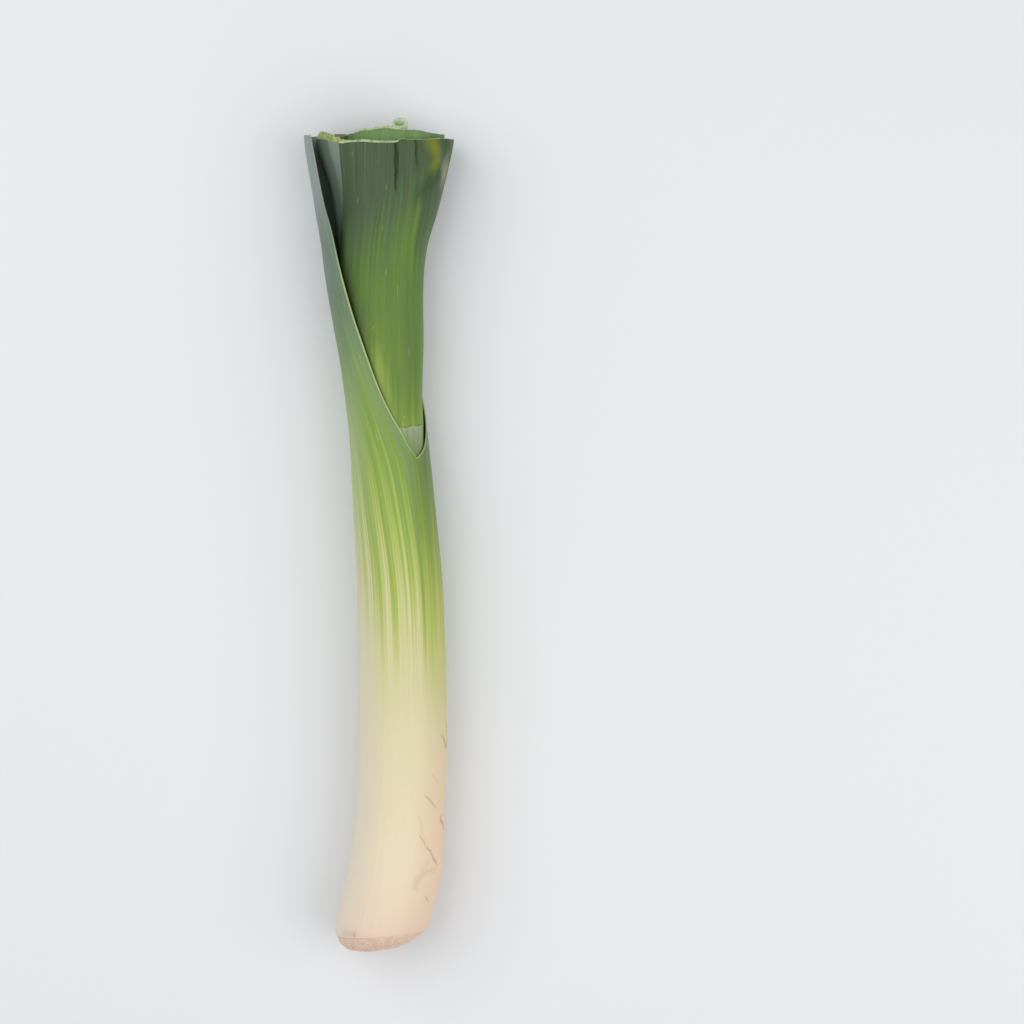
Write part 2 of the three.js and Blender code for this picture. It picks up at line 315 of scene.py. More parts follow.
# %% Sockets that can be added and multiplied
class Wire:
    """An output socket of a material. Arithmetic on it adds Math nodes."""

    def __init__(self, tree, socket):
        self.tree = tree
        self.socket = socket

    def make(self, kind, settings=None, inputs=None, output=0):
        """Adds a node of this kind: first its settings, then the values or links of its sockets."""
        node = self.tree.nodes.new(kind)
        for key, value in (settings or {}).items():
            if key == "stops":
                set_stops(node.color_ramp, value)
            else:
                setattr(node, key, value)
        for key, value in (inputs or {}).items():
            if isinstance(value, Wire):
                self.tree.links.new(value.socket, node.inputs[key])
            else:
                node.inputs[key].default_value = value
        return Wire(self.tree, node.outputs[output])

    def math(self, operation, first, second=0.0):
        """One Math node on two values."""
        return self.make("ShaderNodeMath", {"operation": operation}, {0: first, 1: second})

    def __add__(self, other):
        return self.math("ADD", self, other)

    def __sub__(self, other):
        return self.math("SUBTRACT", self, other)

    def __rsub__(self, other):
        return self.math("SUBTRACT", other, self)

    def __mul__(self, other):
        return self.math("MULTIPLY", self, other)

    def __truediv__(self, other):
        return self.math("DIVIDE", self, other)

    __radd__ = __add__
    __rmul__ = __mul__

    def step(self, low, high):
        """A smooth step of this value from 0 at low to 1 at high."""
        settings = {"interpolation_type": "SMOOTHSTEP"}
        return self.make("ShaderNodeMapRange", settings, {"Value": self, "From Min": low, "From Max": high})

    def ramp(self, stops):
        """Colours along this value; each stop is a place from 0 to 1 and an sRGB colour."""
        return self.make("ShaderNodeValToRGB", {"stops": stops}, {"Fac": self})

    def mix(self, other, factor, how="MIX"):
        """This colour mixed with another one, or with a colour given as numbers."""
        other = other if isinstance(other, Wire) else colour(*other)
        settings = {"data_type": "RGBA", "blend_type": how}
        return self.make("ShaderNodeMix", settings, {0: factor, 6: self, 7: other}, 2)

    def attribute(self, name, output="Vector"):
        """What the mesh stores at each of its points: a vector, or a number for the output Fac."""
        return self.make("ShaderNodeAttribute", {"attribute_name": name}, None, output)

    def where(self):
        """The point's place on the object, in metres."""
        return self.make("ShaderNodeTexCoord", None, None, "Object")

    def cells(self, scale):
        """The distance from the middle of the nearest cell, at these coordinates."""
        return self.make("ShaderNodeTexVoronoi", None, {"Vector": self, "Scale": scale}, "Distance")

    def split(self):
        """The three numbers of a vector."""
        node = self.make("ShaderNodeSeparateXYZ", None, {0: self}).socket.node
        return [Wire(self.tree, socket) for socket in node.outputs]

    def noise(self, scale, detail=3.0, roughness=0.5):
        """Cloudy noise at these coordinates."""
        inputs = {"Vector": self, "Scale": scale, "Detail": detail, "Roughness": roughness}
        return self.make("ShaderNodeTexNoise", None, inputs)

    def scaled(self, x, y, z):
        """These coordinates stretched along each axis."""
        return self.make("ShaderNodeVectorMath", {"operation": "MULTIPLY"}, {0: self, 1: (x, y, z)})


def set_stops(ramp, stops):
    """Fills a colour ramp with (place, colour) stops."""
    while len(ramp.elements) < len(stops):
        ramp.elements.new(1.0)
    for element, (at, tint) in zip(ramp.elements, stops):
        element.position = at
        element.color = colour(*tint)


def colour(red, green, blue):
    """A linear colour from sRGB numbers of 0 to 255."""
    share = np.array([red, green, blue]) / 255
    linear = np.where(share <= 0.04045, share / 12.92, ((share + 0.055) / 1.055) ** 2.4)
    return (*linear.tolist(), 1.0)


def new_material(name, **constants):
    """A material with its shader's constants set, and a Wire to start expressions from."""
    material = bpy.data.materials.new(name)
    material.use_nodes = True
    shader = material.node_tree.nodes["Principled BSDF"]
    for key, value in constants.items():
        shader.inputs[key.replace("_", " ")].default_value = value
    return material, shader, Wire(material.node_tree, shader.outputs[0])


def finish(wire, shader, base, roughness, height, depth):
    """Links colour, roughness and a bump of this height field, whose full swing is depth metres."""
    links = wire.tree.links
    links.new(base.socket, shader.inputs["Base Color"])
    if isinstance(roughness, Wire):
        links.new(roughness.socket, shader.inputs["Roughness"])
    else:
        shader.inputs["Roughness"].default_value = roughness
    bump = wire.make("ShaderNodeBump", None, {"Height": height, "Distance": depth, "Strength": 1.0})
    links.new(bump.socket, shader.inputs["Normal"])


# %% [markdown]
# ## The skin of a leaf
# Cells grow in rows, so every mark on a leaf is drawn out along its veins. The mesh carries that grain: a
# coordinate that is constant along a vein. Noise read there, squeezed across and stretched along, gives
# stripes that bend with the margin as the real ones do. The change from white to green is not a line but a
# fringe: the stripes push it up or down the leaf. The mesh also carries painted masks, for what belongs to
# one place only: a bruise, a crease, and painted shade under a neighbour's edge and on the sheath's right.

# %% Leaf skin
LEAF_LIGHT = (0.6, 1.0, 0.35)
LEAF_LIGHT_REACH = 0.0015
LINE_TINT = (255, 255, 205)
VEIN_TINT = (70, 88, 40)
# The dark tint that painted shade multiplies into a leaf's colour
PAINTED_SHADE_TINT = (74, 84, 84)
SPECK_TINT = (188, 204, 160)
TURNS_GREEN = (100, 170)
TURNS_GREY = (170, 215)
EDGE_SHOWS = (171, 182)
EDGE_FADES = (215, 245)


def along_stops(stops):
    """Ramp stops from lengths in millimetres."""
    return [(s / HEART_CUT, tint) for s, tint in stops]


def stripes(grain, across, lengthwise):
    """Noise in stripes along the veins: so tightly packed round the leaf, and along it."""
    return grain.scaled(across, across, lengthwise).noise(1.0, 2.0)


def leaf_skin(name, stops, streak, window, lines, bloom, tints, worn_tint, edge_tint, creases=()):
    """Colours along the leaf, pushed up and down by streaks of so many millimetres within a window of lengths.

    Then pale lines, dark veins, a grey bloom of wax and small specks, and last the masks painted on the mesh,
    painted shade among them. The bloom is a pair: how strong it is, and its colour.
    """
    material, shader, wire = new_material(
        name, Subsurface_Weight=0.1, Subsurface_Scale=LEAF_LIGHT_REACH, Subsurface_Radius=LEAF_LIGHT, IOR=1.42,
    )
    grain = wire.attribute("grain")
    length = grain.split()[2]
    # Marks: painted shade, how worn the skin is, and millimetres from the margin
    shade, worn, edge = wire.attribute("marks").split()
    broad = stripes(grain, 0.2, 0.005)
    band = stripes(grain, 0.6, 0.007)
    narrow = stripes(grain, 1.4, 0.011)
    fine = stripes(grain, 4.2, 0.05)
    patches = grain.scaled(0.12, 0.12, 0.04).noise(1.0, 3.0, 0.6)

    inside = length.step(window[0], window[1]) * (1 - length.step(window[2], window[3]))
    swing = (broad - 0.5) * 0.3 + (band - 0.5) * 0.9 + (narrow - 0.5) * 0.8
    base = ((length + swing * (streak * inside)) / HEART_CUT).ramp(along_stops(stops))
    green = length.step(*TURNS_GREEN)
    base = base.mix(LINE_TINT, narrow.step(0.48, 0.75) * green * lines, "SCREEN")
    base = base.mix(VEIN_TINT, (1 - fine).step(0.5, 0.78) * (0.03 + green * 0.12))
    bloom_strength, bloom_tint = bloom
    base = base.mix(bloom_tint, patches.step(0.35, 0.65) * length.step(*TURNS_GREY) * bloom_strength)
    specks = grain.scaled(0.28, 0.28, 0.1).cells(1.0)
    base = base.mix(SPECK_TINT, (1 - specks.step(0.02, 0.13)) * green * 0.3)

    for mask, tint in zip(wire.attribute("tints").split(), tints):
        base = base.mix(tint, mask)
    base = base.mix(worn_tint, worn)
    height = fine * 0.4 + narrow * 0.6
    if creases:
        drawn = crease_lines(wire, creases)
        base = base.mix(worn_tint, drawn)
        height = height - drawn * 0.8
    edge_line = (1 - edge.step(0.1, 0.6)) * length.step(*EDGE_SHOWS) * (1 - length.step(*EDGE_FADES))
    base = base.mix(edge_tint, edge_line * 0.8)
    # Painted shade: beside the outermost leaf's margin, and a little on the right of the sheath
    base = base.mix(PAINTED_SHADE_TINT, shade, "MULTIPLY")
    finish(wire, shader, base, 0.43 + 0.14 * patches, height, 0.0001)
    return material


# %% [markdown]
# The thinnest creases are finer than the mesh, so the shader draws them itself. Each is a straight line seen
# from above, given in millimetres as (x, y) of its start and its end, its width and how strongly it shows. The
# distance from the line is the point's offset across it, and some noise makes the line wander.

# %% Creases drawn by the shader
SHEATH_LINES = [
    ((14.2, -98.3), (16.4, -102.6), 0.45, 0.4), ((16.2, -102.2), (19.8, -109.4), 0.5, 0.55),
    ((14.3, -92.0), (14.5, -99.4), 0.7, 0.15), ((15.4, -85.0), (19.8, -90.8), 0.42, 0.45),
    ((20.6, -92.4), (21.6, -98.4), 0.45, 0.6), ((15.5, -118.4), (17.1, -122.0), 0.5, 0.35),
    ((12.0, -116.5), (14.4, -110.5), 1.6, 0.18), ((14.0, -111.3), (19.8, -109.8), 1.5, 0.15),
    ((21.0, -66.0), (22.9, -71.5), 0.45, 0.5), ((22.7, -62.5), (22.9, -71.5), 0.5, 0.75),
    ((17.5, -78.5), (20.5, -83.0), 0.45, 0.2), ((16.8, -106.5), (14.6, -110.5), 1.0, 0.12),
]
BLADE_LINES = [
    ((5.8, 130.0), (6.1, 111.0), 0.5, 0.9), ((12.5, 130.0), (13.1, 119.0), 0.4, 0.6),
    ((14.0, 128.5), (15.2, 123.0), 0.3, 0.3), ((-4.5, 130.0), (-4.0, 117.0), 0.3, 0.25),
]


def crease_lines(wire, creases):
    """How strongly a point lies on any of the creases, on the side that faces up."""
    spot = wire.where().scaled(1000, 1000, 1000)
    x, y, z = spot.split()
    wander = (spot.noise(0.3, 1.0) - 0.5) * 1.5
    total = 0.0
    for (ax, ay), (bx, by), width, strength in creases:
        reach = ((bx - ax) ** 2 + (by - ay) ** 2) ** 0.5
        dx, dy = (bx - ax) / reach, (by - ay) / reach
        forward = x * dx + y * dy - (ax * dx + ay * dy)
        aside = wire.math("ABSOLUTE", x * dy - y * dx - (ax * dy - ay * dx) + wander)
        on_line = 1 - aside.step(0.15 * width, width)
        between_ends = forward.step(-0.4, 1.2) * (1 - forward.step(reach - 1.8, reach))
        total = total + on_line * between_ends * strength
    return total * z.step(AXIS_HEIGHT - 1, AXIS_HEIGHT + 1)


# %% [markdown]
# A few named colours carry each leaf from its foot to its cut. A stop says which colour the leaf has at which
# length, and the colours run evenly from one stop to the next.

# %% Colours along the leaves
PEACH, CREAM, IVORY, STRAW = (237, 211, 188), (235, 219, 189), (225, 214, 175), (208, 205, 147)
LIME, GRASS, SOFT_GREEN, DULL_GREEN = (169, 186, 87), (127, 158, 61), (124, 153, 86), (103, 127, 98)
GREY_GREEN, SILVER, DEEP_GREEN = (108, 126, 112), (146, 154, 150), (62, 84, 45)
SHEATH_STOPS = [
    (5, PEACH), (30, CREAM), (70, IVORY), (100, STRAW), (130, LIME),
    (160, GRASS), (185, SOFT_GREEN), (215, DULL_GREEN), (233, GREY_GREEN), (250, SILVER),
]
BLADE_STOPS = [
    (60, CREAM), (130, (200, 208, 130)), (160, (148, 170, 72)),
    (190, (107, 139, 40)), (222, (90, 126, 36)), (245, DEEP_GREEN),
]
GREY_STOPS = [
    (60, CREAM), (150, (180, 196, 110)), (200, (98, 124, 66)), (235, GREY_GREEN), (270, (136, 149, 135)),
]
INNER_STOPS = [
    (60, CREAM), (180, (214, 214, 140)), (225, (150, 180, 86)), (255, (112, 146, 70)), (270, (96, 132, 68)),
]
PALE_STOPS = [(60, CREAM), (200, (226, 224, 160)), (245, (196, 210, 120)), (272, (160, 190, 92))]
print(len(SHEATH_STOPS), "colour stops on the outermost leaf")

# %% [markdown]
# A cut leaf shows its flesh: a pale green rim with a spongy, speckled middle. The inside of a sheath is
# smoother and paler than its outside.

# %% Cut flesh
def cut_flesh(name, tint, speck):
    """Pale flesh with small dark cells, a little wet."""
    material, shader, wire = new_material(
        name, Subsurface_Weight=0.15, Subsurface_Scale=LEAF_LIGHT_REACH, Subsurface_Radius=LEAF_LIGHT,
    )
    spot = wire.where()
    cells = spot.cells(1300.0)
    cloud = spot.noise(600.0, 3.0)
    dots = (1 - cells.step(0.15, 0.6)) * cloud.step(0.4, 0.56)
    lighter = tuple(min(255, channel + 26) for channel in tint)
    base = spot.noise(250.0).ramp([(0.3, tint), (0.7, lighter)])
    base = base.mix(speck, dots * 0.85)
    finish(wire, shader, base, 0.35, cells + cloud, 0.00015)
    return material


CUT_GREEN = cut_flesh("cut_green", (172, 188, 140), (104, 130, 78))
CUT_KEEL = cut_flesh("cut_keel", (150, 166, 88), (52, 76, 32))
CUT_PALE = cut_flesh("cut_pale", (186, 204, 134), (120, 150, 68))
print("materials for cut flesh:", CUT_GREEN.name, CUT_KEEL.name, CUT_PALE.name)

# %% [markdown]
# ## Fine form of a leaf
# Four things make the plain solid into a leaf: the margin thins to a sharp edge and lies down on what is
# below, shallow flutes run along the veins, the cut is a little ragged and slanted, and the front edge of the
# outermost blade has dried back near the cut.

# %% Thin margins, flutes, a ragged cut and a drawn edge
EDGE_TISSUE = 0.35
EDGE_BAND = 6.0
EDGE_THINS_OUTSIDE = 0.6
VEIN_SOFTNESS = 15.0
CUT_RAGGED = 0.36
SECOND_CUT_STEP = 1.2
FOURTH_LEAF_STEP = 0.9
CUT_BEVEL = 0.3
LEFT_CUT_BEVEL = 0.5
KEEL_BEVEL = 2.4
KEEL_BEVEL_AT = 173
KEEL_BEVEL_SPREAD = 19
EDGE_DRAWN = 4.0
FOOT_GAP = 0.12
FAR_FROM_EDGE = 99.0


def edge_distance(leaf, angle, s):
    """Millimetres from the margin, round the leek or along it, whichever is less."""
    if not leaf.has_margin:
        return np.full(np.broadcast(angle, s).shape, FAR_FROM_EDGE)
    turned = leaf.from_keel(angle)
    across = radians(leaf.margin_angle(s) - turned) * outer_radius(angle, s)
    across = np.where(s > leaf.mouth, across, FAR_FROM_EDGE)
    return np.maximum(0, np.minimum(across, 0.7 * (leaf.margin_length(-turned) - s)))


def vein_angle(leaf, angle, s):
    """Degrees from the keel that stay constant along a vein.

    Veins close up as the blade narrows. They start to lean towards the keel below the mouth, so the margin's
    angle is read further along, by a smooth step up from nothing.
    """
    signed = apart(angle, leaf.keel)
    if not leaf.has_margin:
        return signed
    turn = leaf.from_keel(angle)
    ahead = VEIN_SOFTNESS * np.log1p(np.exp((s - leaf.mouth) / VEIN_SOFTNESS))
    closing = 180 / leaf.margin_angle(leaf.mouth + ahead) - 1
    return np.sign(signed) * turn * (1 + closing * (1 - np.minimum(1, turn / 180) ** 4))


def flutes(index, vein, s):
    """Millimetres: a sum of waves round the leaf, whole numbers of them, which fade towards the base."""
    rng = np.random.default_rng(40 + index)
    waves = [(count, rng.uniform(0, 360), rng.uniform(0.4, 1)) for count in (7, 12, 19, 31, 44)]
    height = sum(size * np.cos(radians(count * vein + phase)) / count**0.5 for count, phase, size in waves)
    return 0.1 * height * (0.35 + 0.65 * blend(90, 200, s))


def left_of_front(angle):
    """1 on the left half of the side that faces up, and 0 elsewhere."""
    return blend(62, 68, angle) * (1 - blend(140, 172, angle))


def ragged(index, angle):
    """Millimetres by which the knife's cut wanders. It set down twice, so the left of the front is shorter."""
    rng = np.random.default_rng(70 + index)
    waves = [(count, rng.uniform(0, 360), rng.uniform(0.3, 1)) for count in (3, 8, 17, 41, 73, 110)]
    height = sum(size * np.sin(radians(count * angle + phase)) / count**0.35 for count, phase, size in waves)
    second_cut = left_of_front(angle) * (index in (SECOND, THIRD))
    return CUT_RAGGED * height - SECOND_CUT_STEP * second_cut - FOURTH_LEAF_STEP * (index == FOURTH)


def bevel(index, angle):
    """Millimetres by which the inner rim stands past the outer one: the knife met the front at a slant."""
    slant = (CUT_BEVEL + LEFT_CUT_BEVEL * left_of_front(angle)) * blend(-0.2, 0.6, np.sin(radians(angle)))
    return slant + KEEL_BEVEL * bell(apart(angle, KEEL_BEVEL_AT), KEEL_BEVEL_SPREAD) * (index == THIRD)


def drawn_back(index, angle, s):
    """Degrees by which the front edge of the outermost blade has dried back towards its keel, near the cut."""
    if index != OUTERMOST:
        return nothing(angle, s)
    front = blend(40, 90, LEAVES[index].from_keel(angle)) * blend(-0.2, 0.5, np.sin(radians(angle)))
    return EDGE_DRAWN * front * blend(200, 232, s)


# %% [markdown]
# Single leaves have marks of their own. The outermost sheath is old and has wrinkled on the right of the
# base. The second leaf was squeezed where the fan was pressed flat, which left creases down its front and a
# bruised fold at its corner. Each mark is a stroke along a straight line, and it moves the surface and
# colours it from the same numbers.

# %% Strokes
GRAIN_RADIUS = 15.0


def stroke(angle, s, start, end, width):
    """A soft line between two points (angle, length): 1 in its middle, 0 well beside it or past its ends."""
    ax, ay = radians(start[0]) * GRAIN_RADIUS, start[1]
    bx, by = radians(end[0]) * GRAIN_RADIUS, end[1]
    px, py = radians(apart(angle, 0)) * GRAIN_RADIUS, s
    span = (bx - ax) ** 2 + (by - ay) ** 2
    t = np.clip(((px - ax) * (bx - ax) + (py - ay) * (by - ay)) / span, 0, 1)
    away = np.hypot(px - ax - t * (bx - ax), py - ay - t * (by - ay))
    return bell(away, width) * np.sin(np.pi * np.clip(t, 0.04, 0.96)) ** 0.5


# Each wrinkle: start, end, width and depth
SHEATH_CREASES = [
    ((58, 41), (22, 28), 1.1, 0.35), ((38, 20), (24, 14), 1.2, 0.35), ((66, 23), (50, 18), 1.0, 0.2),
    ((12, 76), (0, 60), 0.9, 0.4), ((16, 40), (-24, 33), 1.0, 0.45), ((-4, 22), (-40, 30), 1.0, 0.4),
    ((22, 45), (6, 38), 0.9, 0.35), ((64, 33), (30, 20), 2.0, 0.35), ((46, 52), (29, 46), 0.9, 0.25),
]
BLADE_CREASES = [
    ((68, 270), (64, 248), 0.5, 0.9), ((47, 270), (44, 256), 0.45, 0.5), ((4, 263), (40, 246), 0.9, 0.8),
    ((88, 270), (86, 240), 0.9, 0.25), ((120, 272), (116, 246), 0.8, 0.25),
]
CREASES = {OUTERMOST: SHEATH_CREASES, SECOND: BLADE_CREASES}

# Other strokes: start, end and width
OLD_SPOTS = [((122, 7), (127, 7), 0.9), ((146, 7.4), (128, 7), 1.4)]
BRUISE = [((36, 268), (24, 259), 1.6), ((24, 261), (30, 255), 1.4)]
FOLD = [((24, 257), (42, 246), 1.8), ((22, 268), (6, 261), 2.2)]


def relief(index, angle, s):
    """Millimetres that a leaf's own creases and wrinkles move its surface."""
    height = nothing(angle, s)
    height = height - sum(depth * stroke(angle, s, *line) for *line, depth in CREASES.get(index, []))
    if index == OUTERMOST:
        wrinkled = bell(apart(angle, 8), 42) * bell(s - 38, 24)
        height = height + 0.22 * wrinkled * np.sin(0.55 * s + radians(2.2 * angle)) * np.cos(0.21 * s)
    return height


# %% [markdown]
# The masks that are stored on the mesh come in two sets of three. The marks are painted shade next to the
# margin of the outermost leaf and a little on the right of the sheath, how worn the skin is, and the distance
# from the leaf's own margin. The tints belong to one leaf. On the sheath they are a peach cast on the right,
# a grey cast on the left and an olive cast where white turns green. On the second leaf they are the bruise,
# the fold and the light along its edge.
# Colours also run ahead on one side of a leaf and lag on the other, by some millimetres of its length.

# %% Masks
# Painted shade beside the outermost leaf's margin: widths in millimetres and strengths, leaf by leaf
SHADE_WIDTH = (0.0, 1.0, 0.7)
SHADE_WIDTH_IN_FAN = (0.0, 3.6, 2.0)
PAINTED_SHADE_STRENGTH = (0.0, 0.85, 0.45)


# Painted shade, darkening leaves beside the outermost leaf's margin
def painted_shade_of(index, angle, s):
    """How close a point of the second or third leaf is beside the outermost leaf's margin: 1 at the margin.

    The outermost leaf itself gets a little painted shade on the right, where it turns green.
    """
    if index == OUTERMOST:
        return 0.32 * blend(0.3, 0.9, np.cos(radians(angle))) * blend(105, 160, s) * (1 - blend(180, 215, s))
    if index > THIRD:
        return nothing(angle, s)
    over = LEAVES[OUTERMOST]
    width = SHADE_WIDTH[index] + (SHADE_WIDTH_IN_FAN[index] - SHADE_WIDTH[index]) * blend(180, 225, s)
    width = width - 0.7 * width * blend(240, 266, s)
    beside = radians(over.from_keel(angle) - over.margin_angle(s)) * outer_radius(angle, s)
    return PAINTED_SHADE_STRENGTH[index] * np.exp(-np.maximum(0, beside) / width) * blend(over.mouth, over.mouth + 30, s)


def worn_of(index, angle, s):
    """How worn the skin is: two old spots at the foot of the sheath, and the second leaf's sharp creases."""
    if index == OUTERMOST:
        spot, tail = [stroke(angle, s, *line) for line in OLD_SPOTS]
        return np.clip(0.6 * spot + 0.25 * tail, 0, 1)
    if index == SECOND:
        return np.clip(sum(0.35 * stroke(angle, s, *line) for *line, _ in BLADE_CREASES[:2]), 0, 1)
    return nothing(angle, s)


def tints_of(index, angle, s):
    """Three masks for the colours that one leaf has and the others don't."""
    right = np.cos(radians(angle))
    if index == OUTERMOST:
        peach = 0.75 * blend(0.2, 0.85, right) * bell(s - 32, 40)
        grey = blend(0.35, 0.95, -right) * (0.6 - 0.35 * blend(90, 130, s)) * (1 - blend(165, 200, s))
        olive = 0.55 * blend(0.3, 0.9, right) * bell(s - 106, 32)
        return [peach, grey, olive]
    if index == SECOND:
        bruise = 0.95 * np.maximum(*[stroke(angle, s, *line) for line in BRUISE])
        upper, lower = [stroke(angle, s, *line) for line in FOLD]
        edge_light = 0.4 * blend(18, 12, angle) * blend(2, 8, angle) * bell(s - 256, 5)
        return [bruise, np.clip(0.85 * upper + 0.95 * lower, 0, 1), edge_light]
    return [nothing(angle, s)] * 3


def ahead_of(index, angle, s):
    """Millimetres by which the colours at a point are those of a place further along the leaf."""
    if index == OUTERMOST:
        return (4 + 17 * np.cos(radians(angle))) * blend(80, 125, s) * (1 - blend(175, 205, s))
    if index == SECOND:
        in_fan = (5 * blend(92, 130, angle) - 12 * bell(apart(angle, 52), 24)) * blend(195, 225, s)
        left = 28 * blend(74, 98, angle) * bell(s - 188, 14)
        right = 9 * bell(apart(angle, 50), 30) * bell(s - 185, 20)
        return in_fan - left + right
    return nothing(angle, s)


# %% [markdown]
# The rows of a leaf's grid are close together where the leaf can be seen, above the mouth of the leaf outside
# it, and far apart where it is hidden.

# %% Build one leaf
FOOT_SHARE, FOOT_ROWS = 0.045, 9
HIDDEN_MARGIN, HIDDEN_ROWS = 14, 14
CUT_SHARE, CUT_ROWS = 0.015, 5
OWN_GRAIN = 40.0
WIDEST_MARGIN = 9


def row_shares(index, count):
    """Shares of a leaf's length for the rows of its grid: few in the hidden part, many in the part seen."""
    if index == OUTERMOST:
        first, rows = FOOT_SHARE, FOOT_ROWS
    else:
        first, rows = (LEAVES[index - 1].mouth - HIDDEN_MARGIN) / LEAF_CUT, HIDDEN_ROWS
    start = np.linspace(0, first, rows)[:-1]
    rest = np.linspace(first, 1 - CUT_SHARE, count - len(start) - CUT_ROWS + 1)[:-1]
    return np.concatenate([start, rest, 1 - CUT_SHARE * np.linspace(1, 0, CUT_ROWS) ** 1.5])


def leaf_faces(index, angle, shares, side):
    """Points of one face of a leaf, with the grain, marks and tints that go with them, and where it was cut."""
    leaf = LEAVES[index]
    outer, tissue = leaf_span(index, angle, np.full_like(angle, DOME_EDGE + GAP))
    low = dome_length(HEART_RADIUS + (outer if side == "outer" else outer - tissue)) + FOOT_GAP
    high = leaf.top(angle)
    cut = leaf.margin_length(-leaf.from_keel(angle)) > high + 1 if leaf.has_margin else angle > -1
    high = high + ragged(index, angle) * cut + bevel(index, angle) * cut * (side == "inner")
    s = low + shares[:, None] * (high - low)
    turn = angle + 0 * s
    drawn = turn + drawn_back(index, turn, s)
    outer, tissue = leaf_span(index, drawn, s)
    edge = edge_distance(leaf, turn, s)
    kept = tissue + (EDGE_TISSUE - tissue) * (1 - blend(0, EDGE_BAND, edge))
    vein = vein_angle(leaf, turn, s)
    distance = outer - EDGE_THINS_OUTSIDE * (tissue - kept) + flutes(index, vein, s) + relief(index, turn, s)
    if side == "inner":
        distance = distance - kept
    own, around = OWN_GRAIN * index, radians(vein)
    x, z = GRAIN_RADIUS * np.cos(around) + own, GRAIN_RADIUS * np.sin(around) + own
    values = {
        "grain": [x, z, s + ahead_of(index, turn, s)],
        # The first mark is painted shade
        "marks": [painted_shade_of(index, turn, s), worn_of(index, turn, s), np.minimum(edge, WIDEST_MARGIN)],
        "tints": tints_of(index, turn, s),
    }
    return place(drawn, s, distance), {key: np.stack(value, axis=-1) for key, value in values.items()}, cut


def build_leaf(index, columns, outside_rows, inside_rows, materials):
    """A closed shell: the outside grid, the inside grid, and a rim at each end. Only a cut rim shows flesh."""
    angle = np.arange(columns) * 360 / columns
    out_points, out_values, cut = leaf_faces(index, angle, row_shares(index, outside_rows), "outer")
    in_points, in_values, _ = leaf_faces(index, angle, row_shares(index, inside_rows), "inner")
    outside = np.arange(outside_rows * columns).reshape(outside_rows, columns)
    inside = outside.size + np.arange(inside_rows * columns).reshape(inside_rows, columns)
    parts = [
        (band_faces(outside[:-1], outside[1:]), 0),
        (band_faces(inside[1:], inside[:-1]), 1),
        (band_faces(inside[:1], outside[:1]), 0),
        (band_faces(outside[-1:], inside[-1:]), 2 * (cut & np.roll(cut, -1))),
    ]
    faces = np.concatenate([quads for quads, _ in parts])
    slots = np.concatenate([np.zeros(len(quads)) + slot for quads, slot in parts])
    values = {
        key: np.concatenate([out_values[key].reshape(-1, 3), in_values[key].reshape(-1, 3)]).astype(np.float32)
        for key in out_values
    }
    points = np.concatenate([out_points.reshape(-1, 3), in_points.reshape(-1, 3)])
    piece = make_mesh(f"leaf_{index + 1}_skin", points, faces, slots, materials, values)
    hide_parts(f"leaf_{index + 1}")
    print(piece.name, len(faces) * 2, "triangles")
    return piece


# %% Make the seven leaves
CREAM_CASTS = ((240, 206, 176), (228, 222, 208), (186, 188, 92))
BLADE_CASTS = ((124, 130, 10), (46, 80, 30), (196, 186, 156))
SHEATH = leaf_skin(
    "sheath_and_grey_blade", SHEATH_STOPS, streak=115, window=(70, 125, 185, 220), lines=0.05,
    bloom=(0.25, (128, 142, 132)), tints=CREAM_CASTS, worn_tint=(176, 134, 96), edge_tint=(196, 210, 138),
    creases=SHEATH_LINES,
)
BLADE = leaf_skin(
    "dark_blade", BLADE_STOPS, streak=45, window=(150, 176, 236, 262), lines=0.04,
    bloom=(0.3, (76, 94, 78)), tints=BLADE_CASTS, worn_tint=(32, 44, 24), edge_tint=(140, 166, 96),
    creases=BLADE_LINES,
)
GREY_BLADE = leaf_skin(
    "grey_blade", GREY_STOPS, streak=40, window=(150, 200, 240, 262), lines=0.03,
    bloom=(0.4, (120, 132, 122)), tints=BLADE_CASTS, worn_tint=(36, 48, 26), edge_tint=(128, 156, 84),
)
INNER = leaf_skin(
    "inner_leaf", INNER_STOPS, streak=50, window=(120, 180, 262, 280), lines=0.04,
    bloom=(0.1, (150, 165, 150)), tints=BLADE_CASTS, worn_tint=(90, 110, 60), edge_tint=(150, 180, 100),
)
PALE = leaf_skin(
    "pale_leaf", PALE_STOPS, streak=30, window=(120, 180, 262, 280), lines=0.03,
    bloom=(0.0, (150, 165, 150)), tints=BLADE_CASTS, worn_tint=(120, 140, 80), edge_tint=(180, 200, 130),
)

# Columns, rows outside and inside, materials of the outside, the inside and the cut, and the slot
LEAF_GRIDS = [
    (360, 200, 60, (SHEATH, GREY_BLADE, CUT_GREEN), "outer_leaf"),
    (360, 190, 60, (BLADE, INNER, CUT_GREEN), "leaf"),
    (300, 150, 60, (GREY_BLADE, INNER, CUT_KEEL), "leaf"),
    (260, 130, 60, (INNER, INNER, CUT_GREEN), "leaf"),
    (240, 110, 55, (INNER, PALE, CUT_PALE), "inner_leaf"),
    (220, 100, 50, (INNER, PALE, CUT_PALE), "inner_leaf"),
    (200, 90, 45, (PALE, PALE, CUT_PALE), "inner_leaf"),
]
for index, (columns, outside_rows, inside_rows, skins, slot) in enumerate(LEAF_GRIDS):
    build_leaf(index, columns, outside_rows, inside_rows, skins)

# %% [markdown]
# ## The collar in the mouth
# Where a sheath opens into its blade, a thin pale membrane stands up from the mouth and clings to the leaf
# inside. It is a sheet bent round the second leaf: a grid of angles by heights, with a second grid a hair's
# breadth below it, joined round all four sides.

# %% The collar
COLLAR_TOP = 172.2
COLLAR_REACH = 27
COLLAR_TUCK = 2.0
COLLAR_THICKNESS = 0.14
COLLAR_GRID = (28, 180)


